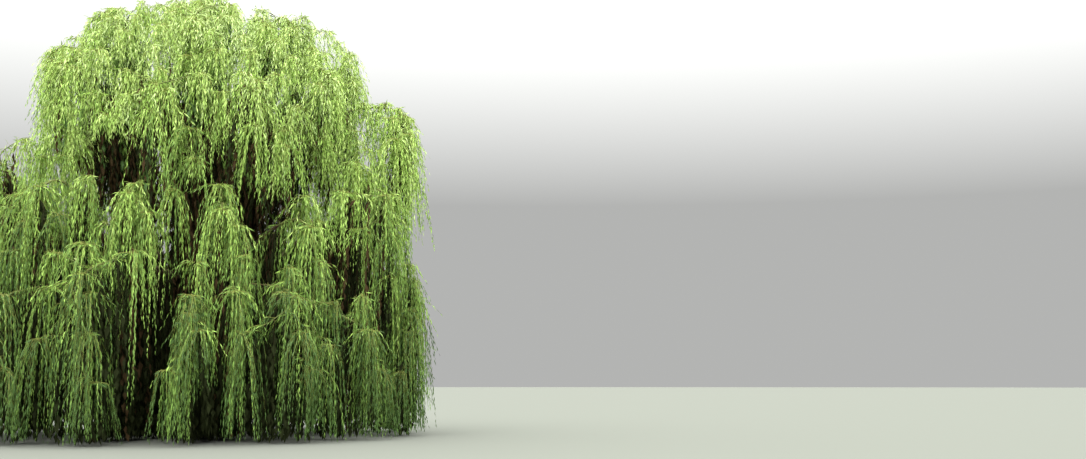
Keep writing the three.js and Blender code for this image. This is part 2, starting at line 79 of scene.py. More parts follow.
# The point on the straight stretch between two of a limb's rings
def axisAt(limb, share):
    shares = ringShares(limb)
    after = max(1, int(np.argmax(shares >= share - 1e-12)))
    part = (share - shares[after - 1]) / (shares[after] - shares[after - 1])
    ends = curvePoints(limb["curve"], shares[after - 1 : after + 1])
    return ends[0] + (ends[1] - ends[0]) * part


def ringShares(limb):
    return (np.arange(limb["rings"] + 1) / limb["rings"]) ** limb.get("spacing", 1)


def taper(rootRadius, tipRadius, power):
    return lambda share: rootRadius + (tipRadius - rootRadius) * np.asarray(share, float) ** power


def newLimb(name, points, rootRadius, tipRadius, rings=boughRings):
    return {
        "name": name,
        "curve": np.array(points, float),
        "radiusAt": taper(rootRadius, tipRadius, boughSlimming),
        "tipRadius": tipRadius,
        "rings": rings,
    }


trunk = {
    "forkHeight": 5.0,
    "girthRadius": 0.47,
    "forkRadius": 0.27,
    "slimming": 1.3,
    "flare": 0.62,  # how much wider the foot is than the bole
    "flareHeight": 0.42,
    "buttresses": 5,
    "buttressDepth": 0.14,
    "buttressTurn": 0.6,  # radians
    "lean": (0.16, 0.09),  # how far the fork stands from over the foot
    "bends": ((0, 0, 0.35), (1.3, 0.4, 0.7)),  # of the curve: shares of that lean, and of the height
    "rings": 9,
    "spacing": 1.5,
}


# The trunk's radius at a share of its height and at angles round it
def trunkRadius(share, angle):
    bole = trunk["girthRadius"] + (trunk["forkRadius"] - trunk["girthRadius"]) * share ** trunk["slimming"]
    foot = np.exp(-share * trunk["forkHeight"] / trunk["flareHeight"])
    buttress = np.cos(trunk["buttresses"] * angle + trunk["buttressTurn"])
    return bole * (1 + trunk["flare"] * foot) * (1 + trunk["buttressDepth"] * foot * buttress)


def growTrunk():
    fork = np.array((*trunk["lean"], trunk["forkHeight"]))
    points = (fork * 0, *(fork * bend for bend in trunk["bends"]), fork)
    bole = newLimb("trunk", points, 1, 1, trunk["rings"])
    bole.update(spacing=trunk["spacing"], radiusAt=lambda share: trunkRadius(share, 0.0))
    return bole


topBough = {
    "tip": (0.26, 0.12, 10.5),
    "rootRadius": 0.225,
    "tipRadius": 0.09,
    "straight": 1.7,
    "bend": (-1.35, -0.45, -1.5),
}


def growTopBough(bole):
    fork = bole["curve"][3]
    onward = curveHeadings(bole["curve"], 1.0)
    tip = np.array(topBough["tip"])
    points = (fork + onward * clearance, fork + onward * topBough["straight"], tip + topBough["bend"], tip)
    return newLimb("bough_top", points, topBough["rootRadius"], topBough["tipRadius"])


leaders = {
    "heights": (3.0, 2.35, 3.7, 2.65, 4.05, 3.35),  # where each one leaves the trunk
    "rootRadius": 0.185,
    "tipRadius": 0.072,
    "tipReach": 2.05,
    "tipBelowCrest": 3.5,
    "springOut": 1.5,
    "springUp": 0.85,
    "upright": 2.7,
}


def growLeader(bole, dome, i):
    away = outward(dome["bearing"])
    start = axisAt(bole, leaders["heights"][i] / trunk["forkHeight"])
    tip = place(dome["bearing"], leaders["tipReach"], dome["crest"] - leaders["tipBelowCrest"])
    spring = start + away * leaders["springOut"] + up * leaders["springUp"]
    points = (start, spring, tip - up * leaders["upright"], tip)
    return newLimb(f"leader_{i + 1}", points, leaders["rootRadius"], leaders["tipRadius"])


arms = {
    "rootRadius": 0.118,
    "tipRadius": 0.052,
    "rootShare": 0.3,
    "stagger": 0.07,
    "springOut": 0.95,
    "springUp": 0.26,
    "run": 1.25,
    "sag": 0.33,
    "plan": (  # bearing, the leader each one grows from, tip reach, tip height
        (14, 0, 3.7, 5.1),
        (74, 1, 4.5, 6.7),
        (112, 2, 4.4, 6.3),
        (155, 3, 4.3, 6.0),
        (-162, 3, 4.3, 5.9),
        (-116, 4, 4.4, 6.2),
        (-76, 5, 4.4, 6.4),
        (-34, 0, 3.7, 5.3),
    ),
}


def growArm(risers, i):
    bearing, leader, reach, height = arms["plan"][i]
    away = outward(bearing)
    start = axisAt(risers[leader], arms["rootShare"] + arms["stagger"] * (i % 2))
    tip = place(bearing, reach, height)
    spring = start + away * arms["springOut"] + up * arms["springUp"]
    points = (start, spring, tip - away * arms["run"] - up * arms["sag"], tip)
    return newLimb(f"arm_{i + 1}", points, arms["rootRadius"], arms["tipRadius"])


# The crown in five tiers of hanging masses: reach from the trunk's axis, height of the lowest tips, half
# width, and how far out and up the middle is. A place is a bearing and a crest height, and what it has of
# its own.
tiers = (
    {
        "tier": "crown", "reach": 0.12, "hem": 10.5, "spread": 1.95, "out": 0, "rise": 0.5,
        "places": [(10, 14.11)],
    },
    {
        "tier": "dome", "reach": 2.85, "hem": 8.8, "spread": 1.65, "out": 0, "rise": 0.5,
        "places": [(-4, 12.5), (58, 13.15), (118, 12.9), (178, 12.7), (-122, 12.8), (-63, 13.0)],
    },
    {
        "tier": "shoulder", "reach": 4.55, "hem": 7.3, "spread": 1.45, "out": 0, "rise": 0.5,
        "places": [
            (-92, 12.3, {"reach": 4.05}), (-50, 11.1), (-14, 10.3), (19, 10.6, {"hem": 8.1}),
            (50, 11.4, {"hem": 8.5}), (88, 12.1, {"hem": 8.2}), (128, 11.6, {"hem": 6.9}),
            (168, 11.2, {"hem": 6.9}), (-142, 11.5, {"hem": 6.9}),
        ],
    },
    {
        "tier": "skirt", "reach": 5.95, "hem": 2.7, "spread": 1.85, "out": -0.1, "rise": 0.56,
        "places": [
            (80, 10.8, {"hem": 6.6, "reach": 6.15, "out": 0}),
            (63, 7.9),
            (34, 6.6, {"reach": 5.25, "hem": 2.6, "spread": 1.15}),
            (8, 6.9, {"reach": 4.95, "hem": 2.0, "spread": 1.6}),
            (-19, 7.3, {"reach": 4.85, "spread": 1.15}),
            (-45, 7.5, {"reach": 5.3, "spread": 1.3}),
            (-80, 8.5), (-114, 8.3), (-148, 8.5), (177, 8.7), (142, 8.6), (104, 8.8),
        ],
    },
    {
        "tier": "hem", "reach": 6.55, "hem": 0.18, "spread": 1.85, "out": 0.8, "rise": 0.62,
        "places": [
            (72, 5.3),
            (46, 3.6, {"reach": 6.45, "hem": 0.12, "spread": 1.05}),
            (24, 4.4, {"reach": 6.35, "hem": 0.09, "spread": 1.65}),
            (0, 3.9, {"reach": 6.25, "hem": 0.12, "spread": 1.15}),
            (-24, 4.9, {"reach": 6.25, "hem": 0.26, "spread": 1.65}),
            (-47, 4.2, {"reach": 6.5, "hem": 0.15, "spread": 1.1}),
            (-70, 5.5, {"hem": 0.24}),
            (-98, 5.5), (-128, 5.0), (-160, 5.4), (168, 5.0), (136, 5.4), (104, 5.0),
        ],
    },
)


def listMasses():
    masses = []
    for tier in tiers:
        for i, (bearing, crest, *own) in enumerate(tier["places"]):
            mass = {**tier, "bearing": bearing, "crest": crest, **dict(*own)}
            mass["name"] = f"{tier['tier']}_{i + 1}" if len(tier["places"]) > 1 else tier["tier"]
            middle = mass["hem"] + (mass["crest"] - mass["hem"]) * mass["rise"]
            mass["centre"] = place(mass["bearing"], mass["reach"] + mass["out"], middle)
            masses.append(mass)
    return masses


stems = {  # radius, overhang past the mass's reach, droop below its crest
    "crown": (0.058, 0.37, 0.42),
    "dome": (0.058, 0.37, 0.42),
    "shoulder": (0.046, 0.37, 0.62),
    "skirt": (0.044, 0.45, 0.72),
    "hem": (0.038, 0.34, 0.62),
}
stemArch = {"spring": 0.35, "back": 2.2, "lift": 0.26, "leastLift": 0.2, "tipRadius": 0.028, "rings": 5}


def growStem(mass, start, heading, radius):
    _, overhang, droop = stems[mass["tier"]]
    end = place(mass["bearing"], mass["reach"] + overhang, mass["crest"] - droop)
    lift = max(stemArch["leastLift"], (mass["crest"] - start[2]) * stemArch["lift"])
    spring = start + heading * stemArch["spring"] * np.linalg.norm(end - start)
    arch = end - outward(mass["bearing"]) * stemArch["back"] * overhang + up * (droop + lift)
    points = (start, spring, arch, end)
    mass["stem"] = newLimb(mass["name"], points, radius, stemArch["tipRadius"], stemArch["rings"])


stemSeat = {
    "tipFit": 0.96,  # a stem's share of the girth of the bough's tip that it goes on from
    "sideFit": 0.8,  # and of a bough's side that it leaves
    "nearReach": 0.72,  # the side seats nearest to this share of the mass's reach are tried first
    "belowCrest": 1.5,
    "highest": 9.0,
    "firstShare": 0.5,
    "shareStep": 0.03,
    "tries": 16,
    "upwards": 0.25,
    "highCrest": 10,  # masses with higher crests than this hang from the leaders, lower ones from the arms
}


def hangFromTip(mass, bough):
    mass["bough"] = bough
    heading = curveHeadings(bough["curve"], 1.0)
    growStem(mass, bough["curve"][3] + heading * clearance, heading, bough["tipRadius"] * stemSeat["tipFit"])


limbMargin = 0.03  # between a stem and every limb but its own


# The least distances between one limb's straight stretches and another's
def gapsBetween(one, other):
    ends, otherEnds = (curvePoints(limb["curve"], ringShares(limb)) for limb in (one, other))
    run1 = (ends[1:] - ends[:-1])[:, None]
    run2 = (otherEnds[1:] - otherEnds[:-1])[None]
    between = ends[:-1][:, None] - otherEnds[:-1][None]
    a, b, c = (run1 * run1).sum(-1), (run1 * run2).sum(-1), (run2 * run2).sum(-1)
    d, e = (run1 * between).sum(-1), (run2 * between).sum(-1)
    slant = a * c - b * b
    s = np.where(slant > 1e-6 * a * c, np.clip((b * e - c * d) / np.maximum(slant, 1e-12), 0, 1), 0)
    t = np.clip((b * s + e) / c, 0, 1)
    s = np.clip((b * t - d) / a, 0, 1)
    return np.linalg.norm(between + run1 * s[..., None] - run2 * t[..., None], axis=-1)


def clearOf(one, other):
    thick = one["radiusAt"](ringShares(one)[:-1])[:, None] + other["radiusAt"](ringShares(other)[:-1])[None]
    return np.all(gapsBetween(one, other) > thick + limbMargin)


# A stem that leaves the side of the bough nearest to its mass, where it passes clear of every other limb
def hangFromSide(mass, boughs, others):
    height = min(mass["crest"] - stemSeat["belowCrest"], stemSeat["highest"])
    target = place(mass["bearing"], mass["reach"] * stemSeat["nearReach"], height)
    spots = []
    for bough in boughs:
        for k in range(stemSeat["tries"]):
            share = stemSeat["firstShare"] + stemSeat["shareStep"] * k
            start = axisAt(bough, share)
            spots.append((float(np.linalg.norm(start - target)), len(spots), bough, share, start))
    for _, _, bough, share, start in sorted(spots, key=lambda spot: spot[:2]):
        heading = unit(unit(target - start) + up * stemSeat["upwards"])
        radius = min(stems[mass["tier"]][0], float(bough["radiusAt"](share)) * stemSeat["sideFit"])
        growStem(mass, start, heading, radius)
        mass["bough"] = bough
        if all(other is bough or clearOf(mass["stem"], other) for other in others):
            return


# The turn from one bearing to another, in degrees either way
def turnFrom(other, bearing):
    return (bearing - other + 540) % 360 - 180


# The crown and dome masses hang from the tips of the top bough and the leaders, and an arm's tip holds the
# skirt mass nearest to its bearing. The others leave the sides of boughs.
def hangMasses(masses, top, risers, carriers):
    def isHigh(mass):
        return mass["tier"] == "shoulder" or mass["crest"] > stemSeat["highCrest"]

    hangFromTip(masses[0], top)
    for mass, riser in zip([mass for mass in masses if mass["tier"] == "dome"], risers):
        hangFromTip(mass, riser)
    for plan, carrier in zip(arms["plan"], carriers):
        free = [mass for mass in masses if mass["tier"] == "skirt" and not ("stem" in mass or isHigh(mass))]
        hangFromTip(min(free, key=lambda mass: abs(turnFrom(plan[0], mass["bearing"]))), carrier)
    for mass in [mass for mass in masses if "stem" not in mass]:
        others = [*limbs, *(other["stem"] for other in masses if "stem" in other)]
        hangFromSide(mass, risers if isHigh(mass) else carriers, others)


masses = listMasses()
bole = growTrunk()
risers = [growLeader(bole, mass, i) for i, mass in enumerate(masses[1:7])]
carriers = [growArm(risers, i) for i in range(len(arms["plan"]))]
limbs = [bole, growTopBough(bole), *risers, *carriers]
hangMasses(masses, limbs[1], risers, carriers)
print("rule grown:", len(limbs), "limbs and", len(masses), "masses")


# Materials
def linear(hexColour):
    channels = [int(hexColour[i : i + 2], 16) / 255 for i in (1, 3, 5)]
    return (*((c / 12.92 if c <= 0.04045 else ((c + 0.055) / 1.055) ** 2.4) for c in channels), 1)


def addNode(tree, kind, settings=None, inputs=None, links=None):
    node = tree.nodes.new(kind)
    for key, value in (settings or {}).items():
        setattr(node, key, value)
    for key, value in (inputs or {}).items():
        node.inputs[key].default_value = value
    for key, socket in (links or {}).items():
        tree.links.new(socket, node.inputs[key])
    return node


def newMaterial(name):
    material = bpy.data.materials.new(name)
    material.use_nodes = True
    return material, material.node_tree, material.node_tree.nodes["Principled BSDF"]


def plainMaterial(name, colour, roughness, specular):
    material, _, shader = newMaterial(name)
    shader.inputs["Base Color"].default_value = linear(colour)
    shader.inputs["Roughness"].default_value = roughness
    shader.inputs["Specular IOR Level"].default_value = specular
    return material


# Willow bark, weathered: corky upright ridges of pale grey-brown over dark furrows, dry and dull
def barkMaterial(name, ridge, furrow, ridgeWidth):
    material, tree, shader = newMaterial(name)
    coords = addNode(tree, "ShaderNodeTexCoord")
    # ridges stand ridgeWidth apart and run about eight times as long
    stretch = addNode(
        tree, "ShaderNodeMapping", inputs={"Scale": (1, 1, 0.12)}, links={"Vector": coords.outputs["Object"]}
    )
    grain = addNode(
        tree,
        "ShaderNodeTexNoise",
        inputs={"Scale": 1 / ridgeWidth, "Detail": 7, "Roughness": 0.62, "Distortion": 0.5},
        links={"Vector": stretch.outputs["Vector"]},
    )
    lichen = addNode(
        tree,
        "ShaderNodeTexNoise",
        inputs={"Scale": 2.2, "Detail": 4},  # patches about 450 mm across
        links={"Vector": coords.outputs["Object"]},
    )
    colours = addNode(tree, "ShaderNodeValToRGB", links={"Fac": grain.outputs["Fac"]})
    patches = addNode(tree, "ShaderNodeValToRGB", links={"Fac": lichen.outputs["Fac"]})
    for ramp, stops in (
        (colours, ((0.38, linear(furrow)), (0.62, linear(ridge)))),
        (patches, ((0.5, (0, 0, 0, 1)), (0.75, (0.5, 0.5, 0.5, 1)))),
    ):
        for element, (position, colour) in zip(ramp.color_ramp.elements, stops):
            element.position, element.color = position, colour
    greened = addNode(
        tree,
        "ShaderNodeMix",
        settings={"data_type": "RGBA"},
        inputs={7: linear("#6f7350")},
        links={0: patches.outputs["Color"], 6: colours.outputs["Color"]},
    )
    bump = addNode(
        tree,
        "ShaderNodeBump",
        inputs={"Strength": 0.7, "Distance": ridgeWidth * 0.3},
        links={"Height": grain.outputs["Fac"]},
    )
    tree.links.new(greened.outputs[2], shader.inputs["Base Color"])
    tree.links.new(bump.outputs["Normal"], shader.inputs["Normal"])
    shader.inputs["Roughness"].default_value = 0.93
    shader.inputs["Specular IOR Level"].default_value = 0.2
    return material


trunkBark = barkMaterial("weathered willow trunk bark", "#8a7c69", "#2c231b", 0.05)
boughBark = barkMaterial("furrowed willow bough bark", "#81715b", "#33291f", 0.03)

# Twigs: smooth young bark, olive to yellow-brown, with a faint wax that catches the sky
twigMaterials = [
    plainMaterial("old willow stem bark", "#5c4c38", 0.85, 0.25),
    plainMaterial("brown bare withe bark", "#412e21", 0.85, 0.25),
    plainMaterial("olive young withe bark", "#93994a", 0.6, 0.35),
    plainMaterial("green-brown lateral bark", "#6f7740", 0.75, 0.3),
]

# Willow leaves: thin, matt above, paler below. The greens from deep green to pale yellow-green are one leaf
# in painted shade and painted sunlight, and the near-black green is painted shade for the leaves inside
leafMaterials = [
    # painted shade: a near-black green for the leaves deep inside the crown, where there is only shade
    plainMaterial("painted shade willow leaf", "#262c15", 0.85, 0.1),
    plainMaterial("deep green willow leaf", "#4a682c", 0.55, 0.35),
    plainMaterial("mid green willow leaf", "#749641", 0.54, 0.35),
    plainMaterial("fresh green willow leaf", "#a0c35c", 0.55, 0.3),
    plainMaterial("yellow-green willow leaf", "#b8d374", 0.55, 0.3),
    plainMaterial("pale yellow-green willow leaf", "#c6dd90", 0.55, 0.3),
    plainMaterial("dry brown willow leaf", "#4a3b26", 0.9, 0.1),
]

# Relief of the bark
furrows = {"length": 7, "winding": 0.9, "windingScale": 0.45, "steepness": 3.2}
relief = {
    "trunk": {"sides": 168, "rings": 150, "ridge": 0.07, "depth": 0.03, "material": trunkBark},
    "bough_top": {"sides": 60, "rings": 110, "ridge": 0.05, "depth": 0.014, "material": boughBark},
    "leader": {"sides": 48, "rings": 110, "ridge": 0.045, "depth": 0.012, "material": boughBark},
    "arm": {"sides": 30, "rings": 80, "ridge": 0.035, "depth": 0.008, "material": boughBark},
}


# How deep the bark is cut at a place: 0 on a ridge, 1 at the bottom of a furrow
def furrowAt(around, alongLimb, ridge):
    spot = Vector((around[0] / ridge, around[1] / ridge, alongLimb / (ridge * furrows["length"])))
    wander = noise.noise(spot * furrows["windingScale"]) * furrows["winding"]
    return min(1.0, abs(noise.noise(spot + Vector((wander, -wander, 0)))) * furrows["steepness"])


# A cylinder cut into rings, bent along its limb, and furrowed inwards so that the ridges keep its girth
def barkPiece(limb):
    look = relief.get(limb["name"]) or relief[limb["name"].split("_")[0]]
    bpy.ops.object.select_all(action="DESELECT")
    bpy.ops.mesh.primitive_cylinder_add(vertices=look["sides"], radius=1, depth=1, end_fill_type="TRIFAN")
    piece = bpy.context.object
    piece.name = limb["name"] + "_bark"
    mesh = piece.data
    heights = np.array([mesh.vertices[i].co.z for edge in mesh.edges for i in edge.vertices]).reshape(-1, 2)
    bpy.ops.object.mode_set(mode="EDIT")
    bpy.ops.mesh.select_mode(type="EDGE")
    bpy.ops.mesh.select_all(action="DESELECT")
    bpy.ops.object.mode_set(mode="OBJECT")
    mesh.edges.foreach_set("select", np.abs(heights[:, 0] - heights[:, 1]) > 0.5)
    bpy.ops.object.mode_set(mode="EDIT")
    bpy.ops.mesh.subdivide(number_cuts=look["rings"] - 1)
    bpy.ops.object.mode_set(mode="OBJECT")
    corners = np.empty(len(mesh.vertices) * 3)
    mesh.vertices.foreach_get("co", corners)
    corners = corners.reshape(-1, 3)
    bendBark(limb, look, corners)
    mesh.vertices.foreach_set("co", corners.ravel())
    mesh.update()
    bpy.ops.object.shade_smooth()
    mesh.materials.append(look["material"])
    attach(piece, "root")
    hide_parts(limb["name"])
    return len(mesh.vertices)


def bendBark(limb, look, corners):
    spacing = limb.get("spacing", 1)
    shares = (np.arange(look["rings"] + 1) / look["rings"]) ** spacing
    centres = curvePoints(limb["curve"], shares)
    headings = curveHeadings(limb["curve"], shares)
    lengths = np.concatenate([[0], np.cumsum(np.linalg.norm(np.diff(centres, axis=0), axis=1))])
    side = np.array((1.0, 0, 0))
    sides = []
    for heading in headings:
        side = unit(side - heading * (side @ heading))
        sides.append(side)
    sides = np.array(sides)
    across = np.cross(headings, sides)
    rows = np.rint((corners[:, 2] + 0.5) * look["rings"]).astype(int)
    onAxis = np.hypot(corners[:, 0], corners[:, 1]) < 0.5
    angles = np.arctan2(corners[:, 1], corners[:, 0])
    if limb["name"] == "trunk":
        radii = trunkRadius(shares[rows], angles)
    else:
        radii = limb["radiusAt"](shares[rows])
    for i in range(len(corners)):
        row, angle, radius = rows[i], angles[i], 0 if onAxis[i] else radii[i]
        if radius:
            around = (math.cos(angle) * radius, math.sin(angle) * radius)
            radius -= look["depth"] * furrowAt(around, lengths[row], look["ridge"])
        turned = sides[row] * math.sin(angle) * radius - across[row] * math.cos(angle) * radius
        corners[i] = centres[row] + turned


for limb in limbs:
    barkPiece(limb)
print("bark made")


# Foliage. Rows of mounds stand over the crown's outline, each in the space of one mass. A mound is one
# lateral twig from the mass's stem, and the withes that fountain from its end.
lowestTip = 0.07
seeds = {"slits": 12, "mounds": 3, "masses": 1000}  # another number gives another tree of the same kind
goldenAngle = 137.508  # between one leaf, tassel or slit and the next
goldenTurn = math.radians(goldenAngle)


# Closed tubes along rows of points, all at once: the last point of each row is its tip
def tubes(rows, radii, sides, normals):
    count, rings = rows.shape[:2]
    runs = unit(np.gradient(rows, axis=1))
    first = unit(normals[:, None] - runs * (normals[:, None] * runs).sum(-1, keepdims=True))
    second = np.cross(runs, first)
    angles = np.arange(sides) * 2 * math.pi / sides
    ring = first[:, :, None] * np.cos(angles)[:, None] + second[:, :, None] * np.sin(angles)[:, None]
    corners = rows[:, :-1, None] + ring[:, :-1] * radii[:-1, None, None]
    corners = np.concatenate([corners.reshape(count, -1, 3), rows[:, -1:]], axis=1)
    perTube = (rings - 1) * sides + 1
    faces = []
    for row in range(rings - 2):
        for k in range(sides):
            a, b = row * sides + k, row * sides + (k + 1) % sides
            faces += [(a, b, b + sides), (a, b + sides, a + sides)]
    last = (rings - 2) * sides
    faces += [(last + k, last + (k + 1) % sides, perTube - 1) for k in range(sides)]
    faces += [(0, k + 1, k) for k in range(1, sides - 1)]
    faces = np.array(faces)[None] + (np.arange(count) * perTube)[:, None, None]
    return corners.reshape(-1, 3), faces.reshape(-1, 3)


# One mesh from arrays of corners, three-cornered faces and the material number of each face
def meshPiece(name, parts, materials, smooth):
    corners, faces, kinds, offset = [], [], [], 0
    for partCorners, partFaces, partKinds in parts:
        corners.append(partCorners)
        faces.append(partFaces + offset)
        kinds.append(np.broadcast_to(partKinds, len(partFaces)))
        offset += len(partCorners)
    corners, faces, kinds = np.concatenate(corners), np.concatenate(faces), np.concatenate(kinds)
    mesh = bpy.data.meshes.new(name)
    mesh.vertices.add(len(corners))
    mesh.vertices.foreach_set("co", corners.astype(np.float32).ravel())
    mesh.loops.add(faces.size)
    mesh.loops.foreach_set("vertex_index", faces.astype(np.int32).ravel())
    mesh.polygons.add(len(faces))
    mesh.polygons.foreach_set("loop_start", np.arange(0, faces.size, 3, dtype=np.int32))
    mesh.polygons.foreach_set("material_index", kinds.astype(np.int32))
    mesh.polygons.foreach_set("use_smooth", np.full(len(faces), smooth))
    for material in materials:
        mesh.materials.append(material)
    mesh.update(calc_edges=True)
    piece = bpy.data.objects.new(name, mesh)
    bpy.context.collection.objects.link(piece)
    return piece, len(faces)


def valueAt(height, pairs):
    return np.interp(height, *zip(*pairs))


crownRows = {
    "outline": (  # height and reach of the mounds' crests
        (13.78, 0.4), (13.42, 1.6), (12.78, 2.6), (11.9, 3.55), (10.7, 3.95), (9.3, 4.15), (8.4, 4.9),
        (7.4, 5.6), (5.0, 6.35), (1.7, 6.8), (0.8, 6.8),
    ),
    "step": ((8, 1.08), (10, 0.86), (13, 0.74)),  # from row to row, by height
    "spacing": ((8, 1.32), (10, 0.98), (13, 0.86)),  # along a row, by height
    "jitter": ((8, 0.28), (10, 0.18)),
    "fewest": 3,  # in a row
    "sideways": 0.8,  # the jitter's share along the row
    "inOut": (-0.7, 0.2),  # and across it
    "pull": 1.5,  # how far off a mass's stem end draws the outline out or in
    "overEnd": 0.4,  # most of all this far over the end, fading faster above
    "fade": 2.2,
    "firmness": 3,  # the pull is whole where an end's weight is over a third
    "steadyWithin": 3.0,  # crests vary less in height nearer to the axis than this
    "alone": 1.5,  # a stem end that stands out further has mounds round it and on its stem's arch
    "onArch": (0.5, 0.65, 0.8, 0.92),  # shares of the stem
    "aboveArch": 0.15,
    "roundIt": (  # outwards, sideways and up from the stem's end
        (-1.0, 0, 0.15), (-0.55, 0.8, -0.1), (-0.55, -0.8, -0.1), (0.05, 0.7, -0.6), (0.05, -0.7, -0.6),
        (0.15, 0.1, -1.3), (-0.4, 1.3, -0.9), (-0.4, -1.3, -0.9), (-1.5, 0.9, -0.6), (-1.5, -0.9, -0.6),
        (-1.0, 1.5, -1.3), (-1.0, -1.5, -1.3), (-1.9, 0.3, -0.2), (0.1, 0.65, -1.9), (0.1, -0.65, -1.9),
    ),
    "more": (  # bearing, reach and crest of mounds that fill out the dome: its right-hand flank, top and core
        (62, 3.5, 13.05), (80, 3.5, 13.1), (100, 3.4, 13.0), (68, 4.15, 12.7), (86, 4.3, 12.75),
        (104, 4.1, 12.65), (76, 4.75, 12.2), (95, 4.75, 12.2), (35, 0.95, 13.78), (107, 0.9, 13.74),
        (179, 1.0, 13.72), (-109, 0.9, 13.76), (-37, 1.0, 13.74), (-132, 1.4, 12.8), (108, 1.7, 12.8),
        (-48, 1.4, 12.45), (62, 1.8, 12.5), (178, 1.6, 12.7), (8, 1.5, 12.4), (92, 1.9, 13.3),
        (66, 2.1, 13.05), (-75, 1.1, 13.0), (-100, 0.8, 12.6),
    ),
}
shadeGaps = (  # bearing, height, half width and half height of the dark places on the front
    (-28, 8.1, 0.85, 0.55), (-2, 6.6, 0.4, 0.8), (26, 6.5, 0.9, 0.7), (-14, 7.6, 0.28, 0.7),
    (10, 7.7, 0.25, 0.6), (-42, 7.4, 0.3, 0.5), (43, 8.4, 0.3, 0.5), (44, 5.0, 0.5, 0.7),
    (-14, 2.9, 0.36, 1.5), (-31, 2.6, 0.34, 1.1), (-47, 3.4, 0.3, 0.9), (-4, 3.6, 0.24, 1.1),
    (4, 1.2, 0.28, 1.1), (17, 2.5, 0.24, 1.2), (38, 2.0, 0.4, 1.6), (58, 2.6, 0.34, 1.3),
)


def inShadeGap(bearing, reach, height):
    return any(
        abs(np.radians(turnFrom(gap[0], bearing))) * reach < gap[2] and abs(height - gap[1]) < gap[3]
        for gap in shadeGaps
    )


# The crests of all mounds, row by row down the crown's outline, which the stem ends draw out or in
def placeMounds(roll):
    outline = np.array(crownRows["outline"])
    along = np.concatenate([[0], np.cumsum(np.linalg.norm(np.diff(outline, axis=0), axis=1))])
    ends = np.array([mass["stem"]["curve"][3] for mass in masses])
    standOut = np.hypot(ends[:, 0], ends[:, 1]) - np.interp(-ends[:, 2], -outline[:, 0], outline[:, 1])
    crests = []
    spot, number = 0, 0
    while spot < along[-1]:
        height, reach = (np.interp(spot, along, outline[:, axis]) for axis in (0, 1))
        spot += valueAt(height, crownRows["step"])
        number += 1
        count = max(crownRows["fewest"], round(2 * math.pi * reach / valueAt(height, crownRows["spacing"])))
        for k in range(count):
            jitter = valueAt(height, crownRows["jitter"])
            sideways = roll.uniform(-crownRows["sideways"], crownRows["sideways"]) * jitter
            bearing = (k + 0.5 * (number % 2) + sideways) / count * 360 - 180
            crest = height + roll.uniform(-1, 1) * jitter * min(1, reach / crownRows["steadyWithin"])
            if inShadeGap(bearing, reach, crest):
                continue
            offsets = ends + up * crownRows["overEnd"] - place(bearing, reach, crest)
            offsets[:, 2] *= np.where(offsets[:, 2] < 0, crownRows["fade"], 1)
            weights = np.exp(-((offsets / crownRows["pull"]) ** 2).sum(1)) + 1e-6
            hold = min(1, weights.max() * crownRows["firmness"])
            out = (weights * standOut).sum() / weights.sum() * hold
            crests.append(place(bearing, reach + out + roll.uniform(*crownRows["inOut"]) * jitter, crest))
    for mass, end, out in zip(masses, ends, standOut):
        if out > crownRows["alone"]:
            axes = np.array((outward(mass["bearing"]), np.cross(outward(mass["bearing"]), up), up))
            crests += [end + np.array(offset) @ axes for offset in crownRows["roundIt"]]
            arch = curvePoints(mass["stem"]["curve"], crownRows["onArch"])
            crests += [*(arch + up * crownRows["aboveArch"])]
    crests += [place(*spot) for spot in crownRows["more"]]
    return np.array(crests)


slits = {  # narrower dark places, all round
    "count": 52,
    "turnVaries": 0.35,
    "heights": (0.9, 5.6),
    "halfWidths": (0.12, 0.28),
    "halfHeights": (0.7, 1.6),
    "leastReach": 2.5,  # withes nearer to the trunk may hang in any dark place
}


# Narrow dark places between the low curtains
def placeSlits(roll):
    count, varies = slits["count"], slits["turnVaries"]
    bearings = (np.arange(count) + roll.uniform(-varies, varies, count)) * goldenAngle
    spans = (roll.uniform(*slits[key], count) for key in ("heights", "halfWidths", "halfHeights"))
    return list(zip(bearings, *spans))


heightWeight = 0.55  # masses are taller than wide, so their spaces are too


# The number of the mass in whose space each point lies
def ownerOf(points):
    centres = np.array([mass["centre"] for mass in masses])
    spreads = np.array([mass["spread"] for mass in masses])
    apart = (points[:, None] - centres[None]) * (1, 1, heightWeight)
    return np.argmin((apart**2).sum(-1) - spreads**2, axis=1)


lateral = {
    "rootRadius": 0.018,
    "tipRadius": 0.005,
    "climb": 0.3,  # a share of the way to the crest
    "aboveStem": 0.12,  # the crest over the stem's own end
    "seats": 30,
    "seatSpan": (0.15, 0.97),
    "spring": (0.25, 0.15),  # shares of its length along the stem and up
    "arch": (0.3, 0.06),  # back from the crest and down
    "seatDrop": 0.15,  # the seat is this far and the climb under the crest, or costs more
    "seatCost": 1.2,
    "shares": (0, 0.2, 0.4, 0.6, 0.8, 1),
}


# A lateral leaves the stem below its mound's crest, and arches to it
def growLaterals(mass, crests):
    stem = mass["stem"]
    crests = np.concatenate([crests, stem["curve"][3:] + up * lateral["aboveStem"]])
    shares = np.linspace(*lateral["seatSpan"], lateral["seats"])
    seats = curvePoints(stem["curve"], shares)
    headings = curveHeadings(stem["curve"], shares)
    apart = np.linalg.norm(seats[None] - crests[:, None], axis=-1)
    tooHigh = seats[None, :, 2] - crests[:, None, 2] + lateral["seatDrop"] + lateral["climb"] * apart
    best = np.argmin(apart + lateral["seatCost"] * np.maximum(0, tooHigh), axis=1)
    starts, lengths = seats[best], apart[np.arange(len(crests)), best][:, None]
    flat = unit((crests - starts) * (1, 1, 0) + 1e-6)
    springs = starts + headings[best] * lengths * lateral["spring"][0] + up * lengths * lateral["spring"][1]
    arches = crests - flat * lengths * lateral["arch"][0] - up * lengths * lateral["arch"][1]
    return np.stack([starts, springs, arches, crests], axis=1)


hang = {"rising": 0.55, "slack": 0.08, "atTip": 1.08}


